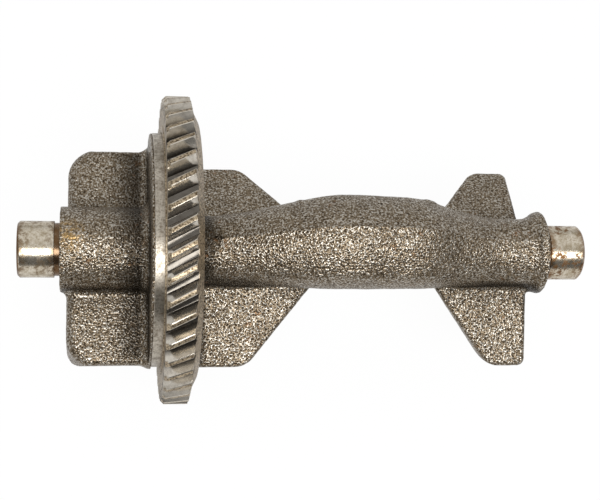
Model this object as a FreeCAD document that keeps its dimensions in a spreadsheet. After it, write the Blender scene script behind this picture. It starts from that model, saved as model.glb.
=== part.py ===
import FreeCAD, Part
import math
import os
import Sketcher
from types import SimpleNamespace

# Balance shaft of an inline engine, with its ring gear.
# One iron casting carries two ground journals, a front block weight, a turned gear seat,
# a trapezoid web weight behind the seat, a bowed beam and a rear weight.
# The helical ring gear is shrunk on the seat, against the step of the web.
# Frame: X runs along the shaft from front to rear, the origin is the middle of the front
# journal, and the heavy side hangs towards -Z. Lengths are in millimetres, angles in degrees.

DRIVING_SIZES = [
    ("journal_radius", 8.0),
    ("journal_chamfer", 0.7),
    ("front_journal_length", 10.2),
    ("rear_journal_length", 10.3),
    ("undercut_width", 1.6),
    ("undercut_depth", 0.5),
    ("centre_hole_radius", 2.2),
    ("centre_pilot_radius", 0.8),
    ("centre_pilot_depth", 1.6),
    ("centre_cone_angle", 60.0),
    ("hub_radius", 12.1),
    ("hub_stand_out", 1.8),
    ("hub_edge", 0.3),
    ("block_length", 22.9),
    ("block_half_angle", 84.0),
    ("block_corner_radius", 8.4),
    ("block_edge_radius", 2.0),
    ("block_set_back", 0.35),
    ("seat_land", 3.2),
    ("seat_edge", 0.4),
    ("ring_width", 10.1),
    ("web_step", 0.6),
    ("weight_half_angle", 68.0),
    ("web_land", 15.0),
    ("web_slope_angle", 51.3),
    ("span_between_weights", 72.4),
    ("rear_weight_land", 11.3),
    ("rear_weight_slope_angle", 54.5),
    ("slope_foot_radius", 4.0),
    ("hub_fillet_radius", 2.0),
    ("weight_corner_radius", 2.4),
    ("weight_edge_chamfer", 0.8),
    ("neck_radius", 9.7),
    ("rear_neck_length", 0.8),
    ("boss_flare", 2.6),
    ("boss_length", 1.6),
    ("boss_radius", 12.1),
    ("boss_edge", 0.4),
    ("beam_half_width", 13.2),
    ("beam_rise", 7.5),
    ("beam_crest", 20.0),
    ("beam_keel", 3.8),
    ("beam_shoulder_share", 0.94),
    ("beam_flank_share", 0.39),
    ("beam_roof_share", 1.8),
    ("tooth_count", 43),
    ("tooth_module", 1.75),
    ("pressure_angle", 20.0),
    ("helix_angle", 28.5),
    ("profile_shift", -0.46),
    ("tooth_backlash", 0.06),
    ("tooth_chamfer", 0.9),
    ("gear_rim_thickness", 6.57),
    ("gear_land_width", 2.15),
    ("gear_land_height", 0.3),
    ("gear_bore_chamfer", 0.4),
    ("gear_rear_margin", 2.4),
    ("gear_rear_bevel", 1.5),
    ("gear_rear_width", 3.55),
]

# The bow of the beam: place of a section as a share of the span between the weights, and
# its share of the full swell, where 0 is the round neck and 1 the middle of the bow.
BEAM_FORM = [
    (-0.12, 0.05),
    (-0.02, 0.20),
    (0.14, 0.60),
    (0.23, 0.86),
    (0.32, 1.00),
    (0.53, 1.00),
    (0.63, 0.96),
    (0.70, 0.86),
    (0.78, 0.61),
    (0.86, 0.34),
    (0.95, 0.11),
    (1.05, 0.00),
]

# Heights of the standard tooth over and under the pitch circle, as shares of the module.
ADDENDUM = 1.0
DEDENDUM = 1.25
FLANK_POINTS = 3

FULL_TURN = 360.0

# How near two lengths or angles lie to count as the same when edges are picked.
CLOSE = 0.01

# Names for the numbers that sketch constraints take.
ORIGIN_POINT = (-1, 1)
HORIZONTAL_AXIS, VERTICAL_AXIS = -1, -2
START, END, CENTRE = range(1, 4)


# Features that treat an edge, each with the property that takes its size.
FILLET = ("PartDesign::Fillet", "Radius")
CHAMFER = ("PartDesign::Chamfer", "Size")


class Size:
    """A length or angle together with the sheet expression that gives it."""

    def __init__(self, value, text):
        self.value = float(value)
        self.text = text

    @staticmethod
    def of(other):
        if isinstance(other, Size):
            return other
        return Size(other, repr(float(other)))

    def __add__(self, other):
        other = Size.of(other)
        return Size(self.value + other.value, f"({self.text} + {other.text})")

    def __sub__(self, other):
        other = Size.of(other)
        return Size(self.value - other.value, f"({self.text} - {other.text})")

    def __mul__(self, other):
        other = Size.of(other)
        return Size(self.value * other.value, f"({self.text} * {other.text})")

    def __truediv__(self, other):
        other = Size.of(other)
        return Size(self.value / other.value, f"({self.text} / {other.text})")

    def __neg__(self):
        return Size(-self.value, f"(0 - {self.text})")

    def tangent(self):
        return Size(math.tan(math.radians(self.value)), f"tan({self.text})")

    def sine(self):
        return Size(math.sin(math.radians(self.value)), f"sin({self.text})")

    def cosine(self):
        return Size(math.cos(math.radians(self.value)), f"cos({self.text})")


NOTHING = Size(0.0, "0")


def fill_sheet(doc):
    """Puts the driving sizes into the sheet and hands them back by name."""
    sheet = doc.addObject("Spreadsheet::Sheet", "Sizes")
    named = {}
    for row, (alias, value) in enumerate(DRIVING_SIZES, start=1):
        sheet.set(f"A{row}", alias)
        sheet.set(f"B{row}", str(value))
        sheet.setAlias(f"B{row}", alias)
        named[alias] = Size(value, f"Sizes.{alias}")
    doc.recompute()
    return SimpleNamespace(**named)


def derive_radii(size):
    """Adds the radii that follow from the gear's root circle and the thickness of its rim."""
    size.seat_radius = root_radius(size) - size.gear_rim_thickness
    size.block_radius = size.seat_radius - size.block_set_back
    size.weight_radius = size.seat_radius + size.web_step
    size.gear_land_radius = size.seat_radius + size.gear_land_width
    size.gear_rear_radius = size.seat_radius + size.gear_rear_width


def lay_out(size):
    """Works out the stations along the shaft, from the front journal's middle to the rear end."""
    front_end = -(size.front_journal_length / 2)
    hub_face = size.front_journal_length / 2 + size.undercut_width
    block_face = hub_face + size.hub_stand_out
    seat_face = block_face + size.block_length
    gear_face = seat_face + size.seat_land
    seat_end = gear_face + size.ring_width
    web_end = seat_end + size.web_land
    rear_land_start = web_end + size.span_between_weights
    rear_weight_face = rear_land_start + size.rear_weight_land
    flare_start = rear_weight_face - size.rear_neck_length
    flare_end = flare_start + size.boss_flare
    boss_face = flare_end + size.boss_length
    rear_journal_start = boss_face + size.undercut_width
    rear_end = rear_journal_start + size.rear_journal_length
    return SimpleNamespace(front_end=front_end, hub_face=hub_face, block_face=block_face,
                           seat_face=seat_face, gear_face=gear_face, seat_end=seat_end,
                           web_end=web_end, rear_land_start=rear_land_start,
                           rear_weight_face=rear_weight_face, flare_start=flare_start,
                           flare_end=flare_end, boss_face=boss_face,
                           rear_journal_start=rear_journal_start, rear_end=rear_end)


def origin_feature(body, role):
    for feature in body.Origin.OriginFeatures:
        if feature.Role == role:
            return feature
    raise ValueError(f"{body.Label} has no {role}")


def new_sketch(body, name, plane):
    sketch = body.newObject("Sketcher::SketchObject", name)
    sketch.AttachmentSupport = [(origin_feature(body, plane), "")]
    sketch.MapMode = "FlatFace"
    return sketch


def bind(sketch, kind, *where, size):
    """Adds one dimension to the sketch and binds it to the sheet."""
    index = sketch.addConstraint(Sketcher.Constraint(kind, *where, size.value))
    sketch.setExpression(f"Constraints[{index}]", size.text)


def pin_point(sketch, edge, end, point):
    """Fixes a point of the sketch at two bound coordinates; a plain zero lies on the axis."""
    axes = ((point[0], "DistanceX", VERTICAL_AXIS), (point[1], "DistanceY", HORIZONTAL_AXIS))
    for size, kind, axis in axes:
        if size is NOTHING:
            sketch.addConstraint(Sketcher.Constraint("PointOnObject", edge, end, axis))
        else:
            bind(sketch, kind, edge, end, size=size)


def vector(point):
    return FreeCAD.Vector(point[0].value, point[1].value, 0)


def outward_arc(start, end, radius):
    """Arc from start to end that turns to the left and bulges to the right of its chord."""
    chord = end - start
    half = chord.Length / 2
    depth = math.sqrt(radius * radius - half * half)
    to_left = FreeCAD.Vector(-chord.y, chord.x, 0) / chord.Length
    centre = (start + end) / 2 + to_left * depth
    first = math.atan2(start.y - centre.y, start.x - centre.x)
    last = math.atan2(end.y - centre.y, end.x - centre.x)
    if last < first:
        last += 2 * math.pi
    circle = Part.Circle(centre, FreeCAD.Vector(0, 0, 1), radius)
    return Part.ArcOfCircle(circle, first, last)


def add_outline(sketch, points, radii=None):
    """Draws a closed outline, anticlockwise, through bound points.

    Each side is straight, or an outward arc where its entry in radii holds a radius.
    """
    radii = radii or [None] * len(points)
    sides = []
    for here, there, radius in zip(points, points[1:] + points[:1], radii):
        if radius is None:
            side = Part.LineSegment(vector(here), vector(there))
        else:
            side = outward_arc(vector(here), vector(there), radius.value)
        sides.append(sketch.addGeometry(side, False))
    for side, following in zip(sides, sides[1:] + sides[:1]):
        sketch.addConstraint(Sketcher.Constraint("Coincident", side, END, following, START))
    for side, point, radius in zip(sides, points, radii):
        pin_point(sketch, side, START, point)
        if radius is not None:
            bind(sketch, "Radius", side, size=radius)


def revolve(body, name, sketch, kind="PartDesign::Revolution", angle=None):
    """Turns the sketch about the shaft's axis, all round or by an angle shared to both sides."""
    feature = body.newObject(kind, name)
    feature.Profile = sketch
    feature.ReferenceAxis = (origin_feature(body, "X_Axis"), [""])
    feature.Angle = FULL_TURN
    if angle is not None:
        feature.Midplane = True
        feature.Angle = angle.value
        feature.setExpression("Angle", angle.text)
    body.Tip = feature


def add_front_end(body, size, at):
    """Front journal, undercut, hub and the turned disc that the ring gear sits on."""
    undercut_radius = size.journal_radius - size.undercut_depth
    sketch = new_sketch(body, "front_end_profile", "XZ_Plane")
    add_outline(sketch, [
        (at.front_end, NOTHING),
        (at.front_end, size.journal_radius - size.journal_chamfer),
        (at.front_end + size.journal_chamfer, size.journal_radius),
        (at.hub_face - size.undercut_width, size.journal_radius),
        (at.hub_face - size.undercut_width, undercut_radius),
        (at.hub_face, undercut_radius),
        (at.hub_face, size.hub_radius - size.hub_edge),
        (at.hub_face + size.hub_edge, size.hub_radius),
        (at.seat_face, size.hub_radius),
        (at.seat_face, size.seat_radius - size.seat_edge),
        (at.seat_face + size.seat_edge, size.seat_radius),
        (at.seat_end, size.seat_radius),
        (at.seat_end, NOTHING),
    ])
    revolve(body, "front_end", sketch)


def add_rear_end(body, size, at):
    """Rear neck, boss, undercut and rear journal."""
    undercut_radius = size.journal_radius - size.undercut_depth
    sketch = new_sketch(body, "rear_end_profile", "XZ_Plane")
    add_outline(sketch, [
        (at.rear_land_start, NOTHING),
        (at.rear_land_start, size.neck_radius),
        (at.flare_start, size.neck_radius),
        (at.flare_end, size.boss_radius),
        (at.boss_face - size.boss_edge, size.boss_radius),
        (at.boss_face, size.boss_radius - size.boss_edge),
        (at.boss_face, undercut_radius),
        (at.rear_journal_start, undercut_radius),
        (at.rear_journal_start, size.journal_radius),
        (at.rear_end - size.journal_chamfer, size.journal_radius),
        (at.rear_end, size.journal_radius - size.journal_chamfer),
        (at.rear_end, NOTHING),
    ])
    revolve(body, "rear_end", sketch)


def add_block(body, size, at):
    """Front weight: a wide sector of a drum whose two outer corners are rounded in plan."""
    corner = size.weight_corner_radius
    sketch = new_sketch(body, "block_profile", "XZ_Plane")
    add_outline(sketch, [
        (at.seat_face + size.seat_edge, NOTHING),
        (at.block_face, NOTHING),
        (at.block_face, corner - size.block_radius),
        (at.block_face + corner, -size.block_radius),
        (at.seat_face + size.seat_edge, -size.block_radius),
    ], [None, None, corner, None, None])
    revolve(body, "block", sketch, angle=size.block_half_angle * 2)
    for side in (1, -1):
        cut_plan_corner(body, size, at, side)
    face_angle = size.block_half_angle
    treat_edges(body, "block_edges", FILLET, size.block_edge_radius,
                lambda edge: on_sector_face(edge, face_angle) and middle_of(edge).x < at.seat_face.value)


def cut_plan_corner(body, size, at, side):
    """Rounds one outer corner of the block, as seen from above, right through its height."""
    outer = size.block_radius * side
    beyond = (size.block_radius + size.block_edge_radius) * side
    inner = (size.block_radius - size.block_corner_radius) * side
    before = at.block_face - size.block_edge_radius
    rounded = at.block_face + size.block_corner_radius
    name = "block_corner_left" if side > 0 else "block_corner_right"
    sketch = new_sketch(body, f"{name}_outline", "XY_Plane")
    centre = (rounded, inner)
    points = [(at.block_face, inner), (before, inner), (before, beyond), (rounded, beyond), (rounded, outer)]
    lines = []
    for here, there in zip(points, points[1:]):
        lines.append(sketch.addGeometry(Part.LineSegment(vector(here), vector(there)), False))
    circle = Part.Circle(vector(centre), FreeCAD.Vector(0, 0, 1), size.block_corner_radius.value)
    quarter = math.pi / 2
    turn = (quarter, 2 * quarter) if side > 0 else (2 * quarter, 3 * quarter)
    arc = sketch.addGeometry(Part.ArcOfCircle(circle, *turn), False)
    arc_at_outer = START if side > 0 else END
    arc_at_face = END if side > 0 else START
    for line, following in zip(lines, lines[1:]):
        sketch.addConstraint(Sketcher.Constraint("Coincident", line, END, following, START))
    sketch.addConstraint(Sketcher.Constraint("Coincident", lines[-1], END, arc, arc_at_outer))
    sketch.addConstraint(Sketcher.Constraint("Coincident", lines[0], START, arc, arc_at_face))
    for line, point in zip(lines, points):
        pin_point(sketch, line, START, point)
    pin_point(sketch, lines[-1], END, points[-1])
    bind(sketch, "Radius", arc, size=size.block_corner_radius)
    pocket = body.newObject("PartDesign::Pocket", name)
    pocket.Profile = sketch
    pocket.SideType = "Symmetric"
    pocket.Type = "Length"
    pocket.Length = size.block_radius.value * 2
    pocket.setExpression("Length", (size.block_radius * 2).text)
    body.Tip = pocket


def sloped_corner(station, size, angle, direction):
    """Two tangent points of the rounded corner between a weight's outer land and its slope."""
    corner = size.weight_corner_radius
    along = corner * (angle / 2).tangent()
    on_land = (station - along * direction, -size.weight_radius)
    on_slope = (station + along * angle.cosine() * direction, along * angle.sine() - size.weight_radius)
    return on_land, on_slope


def add_web(body, size, at):
    """Weight behind the gear: a sector with a sloping rear side."""
    sketch = new_sketch(body, "web_profile", "XZ_Plane")
    slope_end = at.web_end + (size.weight_radius - size.slope_foot_radius) / size.web_slope_angle.tangent()
    on_land, on_slope = sloped_corner(at.web_end, size, size.web_slope_angle, 1)
    add_outline(sketch, [
        (at.seat_end, NOTHING),
        (at.seat_end, -size.weight_radius),
        on_land,
        on_slope,
        (slope_end, -size.slope_foot_radius),
        (slope_end, NOTHING),
    ], [None, None, size.weight_corner_radius, None, None, None])
    revolve(body, "web", sketch, angle=size.weight_half_angle * 2)
    treat_edges(body, "web_edges", CHAMFER, size.weight_edge_chamfer,
                lambda edge: on_sector_face(edge, size.weight_half_angle)
                and beyond_foot(edge, size) and middle_of(edge).x > at.seat_end.value + CLOSE)


def add_rear_weight(body, size, at):
    """Rear weight: a sector with a sloping front side and an upright rear side."""
    corner = size.weight_corner_radius
    sketch = new_sketch(body, "rear_weight_profile", "XZ_Plane")
    reach = (size.weight_radius - size.slope_foot_radius) / size.rear_weight_slope_angle.tangent()
    slope_start = at.rear_land_start - reach
    on_land, on_slope = sloped_corner(at.rear_land_start, size, size.rear_weight_slope_angle, -1)
    add_outline(sketch, [
        (slope_start, NOTHING),
        (slope_start, -size.slope_foot_radius),
        on_slope,
        on_land,
        (at.rear_weight_face - corner, -size.weight_radius),
        (at.rear_weight_face, corner - size.weight_radius),
        (at.rear_weight_face, -size.slope_foot_radius),
        (at.rear_weight_face - size.slope_foot_radius, -size.slope_foot_radius),
        (at.rear_weight_face - size.slope_foot_radius, NOTHING),
    ], [None, None, corner, None, corner, None, None, None, None])
    revolve(body, "rear_weight", sketch, angle=size.weight_half_angle * 2)
    treat_edges(body, "rear_weight_edges", CHAMFER, size.weight_edge_chamfer,
                lambda edge: on_sector_face(edge, size.weight_half_angle)
                and beyond_foot(edge, size) and middle_of(edge).x > slope_start.value + CLOSE)


def beyond_foot(edge, size):
    """Whether an edge of a weight runs outside the foot that the beam swallows."""
    place = middle_of(edge)
    return math.hypot(place.y, place.z) > size.slope_foot_radius.value + CLOSE


def beam_sections(size, at):
    """Station, half width, height of the middle, crest, keel and roof radius of each section.

    The beam swells from a round neck behind the gear seat to the bowed middle, which stands
    away from the weights and has a flatter roof, and shrinks again to the rear neck.
    """
    places = [(at.web_end + size.span_between_weights * place, share) for place, share in BEAM_FORM]
    places.insert(0, (at.seat_end - size.seat_edge, 0.0))
    places.append((at.flare_start, 0.0))
    sections = []
    for station, share in places:
        half_width = size.neck_radius + (size.beam_half_width - size.neck_radius) * share
        middle = size.beam_rise * share
        crest = size.neck_radius + (size.beam_crest - size.neck_radius) * share
        keel = size.neck_radius + (size.beam_keel - size.neck_radius) * share
        roof_radius = half_width * ((size.beam_roof_share - 1) * share + 1)
        sections.append((station, half_width, middle, crest, -keel, roof_radius))
    return sections


def add_beam(body, size, at):
    """Bowed beam: a loft of six-sided sections whose sides are shallow arcs."""
    sketches = []
    for number, section in enumerate(beam_sections(size, at), start=1):
        sketches.append(beam_section_sketch(body, size, number, *section))
    loft = body.newObject("PartDesign::AdditiveLoft", "beam")
    loft.Profile = sketches[0]
    loft.Sections = sketches[1:]
    loft.Ruled = True
    body.Tip = loft


def beam_section_sketch(body, size, number, station, half_width, middle, crest, keel, roof_radius):
    """Six-sided section of the beam, pointed at crest and keel, with near-upright flanks."""
    shoulder = half_width * size.beam_shoulder_share
    flank = half_width * size.beam_flank_share
    bulge = half_width - shoulder
    flank_radius = (flank * flank + bulge * bulge) / (bulge * 2)
    corners = [
        (NOTHING, crest),
        (-shoulder, middle + flank),
        (-shoulder, middle - flank),
        (NOTHING, keel),
        (shoulder, middle - flank),
        (shoulder, middle + flank),
    ]
    radii = [roof_radius, flank_radius, roof_radius, roof_radius, flank_radius, roof_radius]
    sketch = new_sketch(body, f"beam_section_{number}", "YZ_Plane")
    sketch.AttachmentOffset = FreeCAD.Placement(FreeCAD.Vector(0, 0, station.value), FreeCAD.Rotation())
    sketch.setExpression("AttachmentOffset.Base.z", station.text)
    add_outline(sketch, corners, radii)
    return sketch


def cut_centre_hole(body, size, name, face, inward):
    """Sixty-degree centre with its pilot, in the end face of a ground journal."""
    half_angle = size.centre_cone_angle / 2
    cone_depth = (size.centre_hole_radius - size.centre_pilot_radius) / half_angle.tangent()
    cone_end = face + cone_depth * inward
    pilot_end = cone_end + size.centre_pilot_depth * inward
    sketch = new_sketch(body, f"{name}_profile", "XZ_Plane")
    add_outline(sketch, [
        (face, NOTHING),
        (face, size.centre_hole_radius),
        (cone_end, size.centre_pilot_radius),
        (pilot_end, size.centre_pilot_radius),
        (pilot_end, NOTHING),
    ])
    revolve(body, name, sketch, kind="PartDesign::Groove")


def edges_where(shape, wanted):
    """Names of the edges of a shape that pass a test."""
    return [f"Edge{number}" for number, edge in enumerate(shape.Edges, start=1) if wanted(edge)]


def middle_of(edge):
    return edge.valueAt((edge.FirstParameter + edge.LastParameter) / 2)


def angle_from_heavy_side(point):
    """Angle of a point about the shaft, measured from straight down towards either side."""
    return math.degrees(math.atan2(abs(point.y), -point.z))


def on_sector_face(edge, half_angle):
    """Whether an edge lies in one of the two flat faces of a sector weight, off the axis."""
    places = [vertex.Point for vertex in edge.Vertexes] + [middle_of(edge)]
    off_axis = [place for place in places if math.hypot(place.y, place.z) > CLOSE]
    on_axis_line = math.hypot(middle_of(edge).y, middle_of(edge).z) < CLOSE
    return not on_axis_line and all(
        abs(angle_from_heavy_side(place) - half_angle.value) < CLOSE for place in off_axis)


def treat_edges(body, name, treatment, size, wanted):
    """Rounds or chamfers the edges of the body's last feature that pass a test."""
    kind, setting = treatment
    body.Document.recompute()
    base = body.Tip
    feature = body.newObject(kind, name)
    feature.Base = (base, edges_where(base.Shape, wanted))
    setattr(feature, setting, size.value)
    feature.setExpression(setting, size.text)
    body.Tip = feature


def round_hub_corners(body, size, at):
    """Fills the inner corners that the front hub makes with the block and the gear seat."""
    def wanted(edge):
        places = [vertex.Point for vertex in edge.Vertexes] + [middle_of(edge)]
        radii = [math.hypot(place.y, place.z) for place in places]
        on_seat_face = all(abs(place.x - at.seat_face.value) < CLOSE for place in places)
        along_hub = all(abs(radius - size.hub_radius.value) < CLOSE for radius in radii)
        below_crest = angle_from_heavy_side(places[-1]) < size.block_half_angle.value + CLOSE
        beside_block = at.block_face.value < places[-1].x < at.seat_face.value
        inside_rim = radii[-1] < size.seat_radius.value - 2 * size.seat_edge.value
        return (on_seat_face and inside_rim) or (along_hub and below_crest and beside_block)

    treat_edges(body, "hub_fillets", FILLET, size.hub_fillet_radius, wanted)


def make_balance_shaft(doc, size, at):
    body = doc.addObject("PartDesign::Body", "balance_shaft")
    body.Label = "balance_shaft"
    add_block(body, size, at)
    add_web(body, size, at)
    add_rear_weight(body, size, at)
    add_front_end(body, size, at)
    add_rear_end(body, size, at)
    add_beam(body, size, at)
    round_hub_corners(body, size, at)
    cut_centre_hole(body, size, "front_centre_hole", at.front_end, 1)
    cut_centre_hole(body, size, "rear_centre_hole", at.rear_end, -1)
    return body


def gear_radii(size):
    """Radii of the gear's transverse section, from its normal module and helix angle."""
    helix = math.radians(size.helix_angle.value)
    pitch = size.tooth_count.value * size.tooth_module.value / math.cos(helix) / 2
    transverse_angle = math.atan(math.tan(math.radians(size.pressure_angle.value)) / math.cos(helix))
    return SimpleNamespace(pitch=pitch, transverse_angle=transverse_angle, helix=helix,
                           base=pitch * math.cos(transverse_angle))


def pitch_radius(size):
    """The pitch radius as a bound size."""
    text = f"({size.tooth_count.text} * {size.tooth_module.text} / cos({size.helix_angle.text}) / 2)"
    return Size(gear_radii(size).pitch, text)


def tip_radius(size):
    return pitch_radius(size) + size.tooth_module * (size.profile_shift + ADDENDUM)


def root_radius(size):
    return pitch_radius(size) + size.tooth_module * (size.profile_shift - DEDENDUM)


def involute(angle):
    return math.tan(angle) - angle


def gap_half_angle(size, radius):
    """Half of the angle that the gap between two teeth spans at a radius."""
    gear = gear_radii(size)
    half_pitch = math.pi / size.tooth_count.value
    normal_half = math.pi / 4 + size.profile_shift.value * math.tan(math.radians(size.pressure_angle.value))
    half_thickness = normal_half * size.tooth_module.value / math.cos(gear.helix)
    half_thickness = (half_thickness - size.tooth_backlash.value / 2) / gear.pitch
    at_radius = math.acos(min(1.0, gear.base / radius))
    return half_pitch - (half_thickness + involute(gear.transverse_angle) - involute(at_radius))


def gap_sketch(body, size, number, station, turn):
    """Transverse section of one tooth gap: two involute flanks, the root and a lid past the tip."""
    root = root_radius(size)
    lid = tip_radius(size) + size.tooth_chamfer
    rise = (lid.value - root.value) / (FLANK_POINTS - 1)
    radii = [root.value + rise * step for step in range(FLANK_POINTS)]
    sketch = new_sketch(body, f"gap_section_{number}", "YZ_Plane")
    offset = FreeCAD.Placement(FreeCAD.Vector(0, 0, station.value),
                               FreeCAD.Rotation(FreeCAD.Vector(0, 0, 1), turn.value))
    sketch.AttachmentOffset = offset
    sketch.setExpression("AttachmentOffset.Base.z", station.text)
    sketch.setExpression("AttachmentOffset.Rotation.Angle", turn.text)
    flanks = []
    for side in (1, -1):
        points = []
        for radius in radii:
            angle = side * gap_half_angle(size, radius)
            points.append(FreeCAD.Vector(radius * math.cos(angle), radius * math.sin(angle), 0))
        curve = Part.BSplineCurve()
        curve.interpolate(points)
        flanks.append(sketch.addGeometry(curve, False))
    axis = FreeCAD.Vector(0, 0, 1)
    arcs = []
    for radius in (root.value, lid.value):
        half = gap_half_angle(size, radius)
        circle = Part.Circle(FreeCAD.Vector(), axis, radius)
        arcs.append(sketch.addGeometry(Part.ArcOfCircle(circle, -half, half), False))
    for arc, end, radius in zip(arcs, (START, END), (root, lid)):
        sketch.addConstraint(Sketcher.Constraint("Coincident", arc, CENTRE, *ORIGIN_POINT))
        sketch.addConstraint(Sketcher.Constraint("Coincident", flanks[0], end, arc, END))
        sketch.addConstraint(Sketcher.Constraint("Coincident", flanks[1], end, arc, START))
        bind(sketch, "Radius", arc, size=radius)
    return sketch


def make_ring_gear(doc, size, at):
    body = doc.addObject("PartDesign::Body", "ring_gear")
    body.Label = "ring_gear"
    tip = tip_radius(size)
    root = root_radius(size)
    tooth_face = at.gear_face + size.gear_land_height
    tooth_end = at.seat_end - size.gear_rear_margin
    bevel_start = at.seat_end - size.gear_rear_bevel
    sketch = new_sketch(body, "ring_profile", "XZ_Plane")
    add_outline(sketch, [
        (at.gear_face, size.seat_radius + size.gear_bore_chamfer),
        (at.gear_face, size.gear_land_radius),
        (tooth_face, size.gear_land_radius),
        (tooth_face, tip - size.tooth_chamfer),
        (tooth_face + size.tooth_chamfer, tip),
        (tooth_end, tip),
        (bevel_start, root),
        (at.seat_end, size.gear_rear_radius),
        (at.seat_end, size.seat_radius + size.gear_bore_chamfer),
        (at.seat_end - size.gear_bore_chamfer, size.seat_radius),
        (at.gear_face + size.gear_bore_chamfer, size.seat_radius),
    ])
    revolve(body, "ring_blank", sketch)
    add_tooth_gaps(body, size, at)
    return body


def add_tooth_gaps(body, size, at):
    """Cuts one left-hand helical gap through the ring and repeats it for every tooth."""
    per_length = Size(-math.degrees(math.tan(gear_radii(size).helix)) / pitch_radius(size).value,
                      f"(0 - tan({size.helix_angle.text}) * 180 / pi / {pitch_radius(size).text})")
    first = at.gear_face - size.gear_bore_chamfer
    last = at.seat_end + size.gear_bore_chamfer
    middle = (first + last) / 2
    sketches = []
    for number, station in enumerate((first, middle, last), start=1):
        turn = (station - first) * per_length
        sketches.append(gap_sketch(body, size, number, station, turn))
    gap = body.newObject("PartDesign::SubtractiveLoft", "tooth_gap")
    gap.Profile = sketches[0]
    gap.Sections = sketches[1:]
    gap.Ruled = True
    body.Tip = gap
    body.Document.recompute()
    pattern = body.newObject("PartDesign::PolarPattern", "tooth_gaps")
    pattern.Originals = [gap]
    pattern.Axis = (origin_feature(body, "X_Axis"), [""])
    pattern.Angle = FULL_TURN
    pattern.Occurrences = int(size.tooth_count.value)
    pattern.setExpression("Occurrences", size.tooth_count.text)
    body.Tip = pattern


def check_document(doc, bodies):
    """Stops if any object failed or a piece has no valid solid."""
    for item in doc.Objects:
        if "Invalid" in item.State or "Error" in item.State:
            raise RuntimeError(f"{item.Label} failed: {item.State}")
    for body in bodies:
        if body.Shape.isNull() or not body.Shape.isValid():
            raise RuntimeError(f"{body.Label} has no valid shape")


def main():
    doc = FreeCAD.newDocument("balance_shaft_with_ring_gear")
    size = fill_sheet(doc)
    derive_radii(size)
    at = lay_out(size)
    bodies = [make_balance_shaft(doc, size, at), make_ring_gear(doc, size, at)]
    doc.recompute()
    check_document(doc, bodies)
    os.makedirs("parts", exist_ok=True)
    for body in bodies:
        body.Shape.exportStep(f"parts/{body.Label}.step")
        box = body.Shape.BoundBox
        print(f"{body.Label}: {len(body.Shape.Solids)} solid, volume {body.Shape.Volume:.1f} mm3, "
              f"x {box.XMin:.2f}..{box.XMax:.2f}, y {box.YMin:.2f}..{box.YMax:.2f}, "
              f"z {box.ZMin:.2f}..{box.ZMax:.2f}, valid {body.Shape.isValid()}")


main()
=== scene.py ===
"""Balance shaft with its ring gear, dressed for a plain studio photograph.

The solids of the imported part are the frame. Here the shaft is built again as its casting with
the blended fillets and the sand-cast skin, its ground journals and its turned gear seat, and
the ring gear as a fine involute mesh. Sizes are in millimetres until a mesh is stored.
"""

import logging
import math
from collections.abc import Callable
from dataclasses import dataclass, field
from enum import Enum
from functools import partial
from typing import Any

import bpy
import numpy as np
from mathutils import Matrix, Vector


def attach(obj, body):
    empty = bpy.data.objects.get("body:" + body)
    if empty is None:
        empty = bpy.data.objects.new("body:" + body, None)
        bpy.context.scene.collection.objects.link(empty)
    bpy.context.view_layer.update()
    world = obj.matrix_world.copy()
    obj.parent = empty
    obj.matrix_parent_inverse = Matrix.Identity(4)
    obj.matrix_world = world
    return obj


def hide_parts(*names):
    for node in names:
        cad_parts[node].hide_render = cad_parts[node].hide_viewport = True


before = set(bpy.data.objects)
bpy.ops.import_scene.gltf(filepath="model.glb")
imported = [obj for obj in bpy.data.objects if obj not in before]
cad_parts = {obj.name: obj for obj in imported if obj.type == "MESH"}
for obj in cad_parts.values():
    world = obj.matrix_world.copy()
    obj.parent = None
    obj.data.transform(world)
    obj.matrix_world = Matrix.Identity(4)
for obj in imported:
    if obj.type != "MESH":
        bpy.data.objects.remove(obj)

LOG = logging.getLogger("balance_shaft")
MM = 0.001
BODY = "root"
SHELTER = "shelter"
TURNED = "turned"
BESIDE_WEIGHT = 6.0
Field = Callable[[np.ndarray], np.ndarray]
Node = bpy.types.Node
Tree = bpy.types.NodeTree
Step = tuple[float, ...]
Grain = tuple[float, float, float]
Colour = tuple[float, float, float, float]
WHITE: Colour = (1.0, 1.0, 1.0, 1.0)


class Slot(Enum):
    """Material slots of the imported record."""

    SHAFT = "cast_shaft"
    GEAR = "gear_steel"


class End(Enum):
    """The two ends of the shaft, as the way the free end points along X."""

    FRONT = -1
    REAR = 1


@dataclass(frozen=True)
class Stations:
    """Places along X that several pieces share, from the middle of the front journal."""

    front_end: float = -5.1
    front_journal_end: float = 5.1
    hub_face: float = 6.7
    block_face: float = 8.5
    seat_face: float = 31.4
    gear_face: float = 34.6
    seat_end: float = 44.7
    web_end: float = 59.7
    rear_land_start: float = 132.1
    rear_weight_face: float = 143.4
    flare_start: float = 142.6
    flare_end: float = 145.2
    boss_face: float = 146.8
    rear_journal_start: float = 148.4
    rear_end: float = 158.7


AT = Stations()


# Numbers and meshes


def lattice_noise(points: np.ndarray, grain: float, seed: int) -> np.ndarray:
    """Smooth noise: random values on a cubic lattice, blended between its corners.

    Args:
        points: Places in millimetres, one row each.
        grain: Edge of a lattice cell in millimetres.
        seed: Start of the random numbers.

    Returns:
        One value from -1 to 1 for each point.
    """
    side = 64
    table = np.random.default_rng(seed).uniform(-1.0, 1.0, (side, side, side))
    place = points / grain
    cell = np.floor(place).astype(int)
    share = place - cell
    share = share * share * (3.0 - 2.0 * share)
    low = cell % side
    high = (cell + 1) % side
    total = np.zeros(len(points))
    for corner in np.ndindex(2, 2, 2):
        index = np.where(np.array(corner), high, low)
        weight = np.where(np.array(corner), share, 1.0 - share).prod(axis=1)
        total += weight * table[index[:, 0], index[:, 1], index[:, 2]]
    return total


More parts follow.
